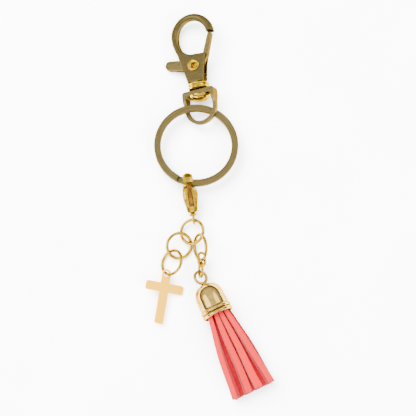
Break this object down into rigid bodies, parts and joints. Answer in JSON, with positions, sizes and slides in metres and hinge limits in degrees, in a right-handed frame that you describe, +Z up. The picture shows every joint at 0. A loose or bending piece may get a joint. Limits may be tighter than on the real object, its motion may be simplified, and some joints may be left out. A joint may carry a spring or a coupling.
{
  "type": "keychain",
  "caption": "Gold-tone bag charm: a swivel trigger hook, a split key ring, a lobster clasp, jump rings, a cross charm and a coral suede tassel.",
  "frame": {"origin": "centre of the object's box, on the surface that it lies on", "axes": "+Y along the chain, from the tassel to the hook; +Z up from the surface; +X to the right with the hook away"},
  "size_m": [0.0458, 0.1398, 0.0109],
  "materials": {
    "brushed": "gold plated, brushed",
    "polished": "gold plated, polished",
    "pale": "pale gold, satin",
    "spring": "spring wire",
    "suede": "microfibre suede strip",
    "glue": "set adhesive"
  },
  "bodies": {
    "key_ring": {"split_ring": "brushed"},
    "loop": {"d_loop": "brushed", "swivel_post": "polished", "swivel_collar": "brushed"},
    "hook": {"hook_body": "brushed", "pivot_rivet": "polished", "gate_spring": "spring"},
    "gate": {"hook_gate": "brushed"},
    "clasp": {"clasp_body": "polished", "clasp_pin": "polished", "clasp_spring": "spring"},
    "clasp_lever": {"clasp_lever": "polished"},
    "ring_on_clasp": {"ring_on_clasp": "polished"},
    "ring_middle": {"ring_middle": "polished"},
    "ring_for_cross": {"ring_for_cross": "polished"},
    "cross": {"cross_charm": "pale"},
    "ring_for_tassel": {"ring_for_tassel": "polished"},
    "upper_link": {"chain_link_upper": "polished"},
    "lower_link": {"chain_link_lower": "polished"},
    "tassel": {"tassel_cap": "polished", "cap_eye": "polished", "eye_stop": "polished", "tassel_core": "glue", "strand_front_1": "suede", "strand_front_2": "suede", "strand_front_3": "suede", "strand_front_4": "suede", "strand_middle_1": "suede", "strand_middle_2": "suede", "strand_middle_3": "suede", "strand_middle_4": "suede", "strand_back_1": "suede", "strand_back_2": "suede", "strand_back_3": "suede", "strand_back_4": "suede"}
  },
  "joints": [
    {"name": "loop_round_key_ring", "type": "hinge", "parent": "key_ring", "child": "loop", "pos_m": [-0.00525, 0.02038, 0.0044], "axis": [0, 0, 1], "range_deg": [-100, 100]},
    {"name": "hook_swivel", "type": "hinge", "parent": "loop", "child": "hook", "pos_m": [-0.00445, 0.04348, 0.0046], "axis": [-0.1045, 0.9945, 0], "continuous": true},
    {"name": "hook_gate_hinge", "type": "hinge", "parent": "hook", "child": "gate", "pos_m": [-0.00549, 0.04971, 0.00448], "axis": [-0.3073, -0.0323, 0.9511], "range_deg": [0, 20], "stiffness_Nm_per_rad": 0.02, "springref_deg": -11.46},
    {"name": "clasp_round_key_ring", "type": "hinge", "parent": "key_ring", "child": "clasp", "pos_m": [-0.00525, 0.02038, 0.0044], "axis": [0, 0, 1], "range_deg": [-45, 45]},
    {"name": "clasp_lever_hinge", "type": "hinge", "parent": "clasp", "child": "clasp_lever", "pos_m": [-0.00749, 0.00311, 0.00685], "axis": [-0.989, -0.1478, 0], "range_deg": [0, 20], "stiffness_Nm_per_rad": 0.004, "springref_deg": -11.46},
    {"name": "ring_on_clasp_swing", "type": "hinge", "parent": "clasp", "child": "ring_on_clasp", "pos_m": [-0.00609, -0.00623, 0.00331], "axis": [0.989, 0.1478, 0], "range_deg": [-60, 60]},
    {"name": "ring_middle_swing", "type": "hinge", "parent": "ring_on_clasp", "child": "ring_middle", "pos_m": [-0.00707, -0.01415, 0.00149], "axis": [-0.2129, 0.8968, 0.3879], "range_deg": [-25, 25]},
    {"name": "ring_for_cross_swing", "type": "hinge", "parent": "ring_middle", "child": "ring_for_cross", "pos_m": [-0.01422, -0.0175, 0.00211], "axis": [0.7651, 0.2728, 0.5832], "range_deg": [-25, 25]},
    {"name": "cross_swing", "type": "hinge", "parent": "ring_for_cross", "child": "cross", "pos_m": [-0.01548, -0.02553, 0.00258], "axis": [0.6548, -0.4259, 0.6244], "range_deg": [-16, 20]},
    {"name": "ring_for_tassel_swing", "type": "hinge", "parent": "ring_on_clasp", "child": "ring_for_tassel", "pos_m": [-0.00416, -0.01209, 0.00497], "axis": [0.447, -0.0434, 0.8935], "range_deg": [-1, 25]},
    {"name": "upper_link_swing", "type": "hinge", "parent": "ring_for_tassel", "child": "upper_link", "pos_m": [-0.00313, -0.0209, 0.00424], "axis": [0.4419, -0.0002, 0.897], "range_deg": [-30, 30]},
    {"name": "lower_link_swing", "type": "hinge", "parent": "upper_link", "child": "lower_link", "pos_m": [-0.0032, -0.02302, 0.0043], "axis": [0.8988, 0, -0.4384], "range_deg": [-25, 25]},
    {"name": "tassel_swing", "type": "hinge", "parent": "lower_link", "child": "tassel", "pos_m": [-0.00312, -0.02508, 0.0043], "axis": [0.8988, 0, -0.4384], "range_deg": [-40, 40]}
  ]
}
